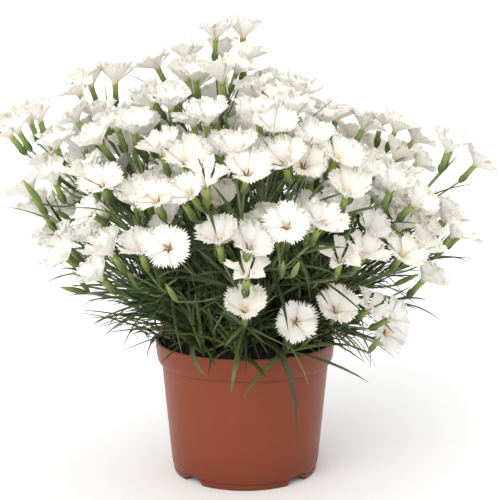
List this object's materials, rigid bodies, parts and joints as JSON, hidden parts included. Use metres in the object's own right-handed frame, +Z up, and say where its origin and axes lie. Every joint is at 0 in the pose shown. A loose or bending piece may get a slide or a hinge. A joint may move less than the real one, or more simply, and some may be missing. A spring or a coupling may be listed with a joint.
{
  "type": "potted dianthus plant",
  "caption": "White dianthus in a plastic nursery pot: toothed five-petalled blooms on forked stems with narrow leaves, over a root ball in a round tapering pot with a rolled collar.",
  "frame": {"origin": "centre of the plant's bounding box at the level of the pot's feet, which is the foot of the pot's axis to within the frame tolerance", "axes": "+Z up along the pot's axis, the picture looks along +Y from in front, +X to its right"},
  "size_m": [0.36, 0.3429, 0.3237],
  "materials": {
    "pot_plastic": "satin terracotta-coloured plastic",
    "root_ball": "dark, rough, matted root ball",
    "foliage": "soft satin leaf green",
    "petals": "matt white, finely veined"
  },
  "bodies": {
    "root": {"pot": "pot_plastic", "soil": "root_ball", "spray_01": "foliage", "spray_02": "foliage", "spray_03": "foliage", "spray_04": "foliage", "spray_05": "foliage", "spray_06": "foliage", "spray_07": "foliage", "spray_08": "foliage", "spray_09": "foliage", "spray_10": "foliage", "head_01": "petals", "head_02": "petals", "head_03": "petals", "head_04": "petals", "head_05": "petals", "head_06": "petals", "head_07": "petals", "head_08": "petals", "head_09": "petals", "head_10": "petals", "head_11": "petals", "head_12": "petals", "head_13": "petals", "head_14": "petals", "head_15": "petals", "head_16": "petals", "head_17": "petals", "head_18": "petals", "head_19": "petals", "head_20": "petals", "head_21": "petals", "head_22": "petals", "head_23": "petals", "head_24": "petals", "head_25": "petals", "head_26": "petals", "head_27": "petals", "head_28": "petals", "head_29": "petals", "head_30": "petals", "head_31": "petals", "head_32": "petals", "head_33": "petals", "head_34": "petals", "head_35": "petals", "head_36": "petals", "head_37": "petals", "head_38": "petals", "head_39": "petals", "head_40": "petals", "head_41": "petals", "head_42": "petals", "head_43": "petals", "head_44": "petals", "head_45": "petals", "head_46": "petals", "head_47": "petals", "head_48": "petals"}
  },
  "joints": []
}
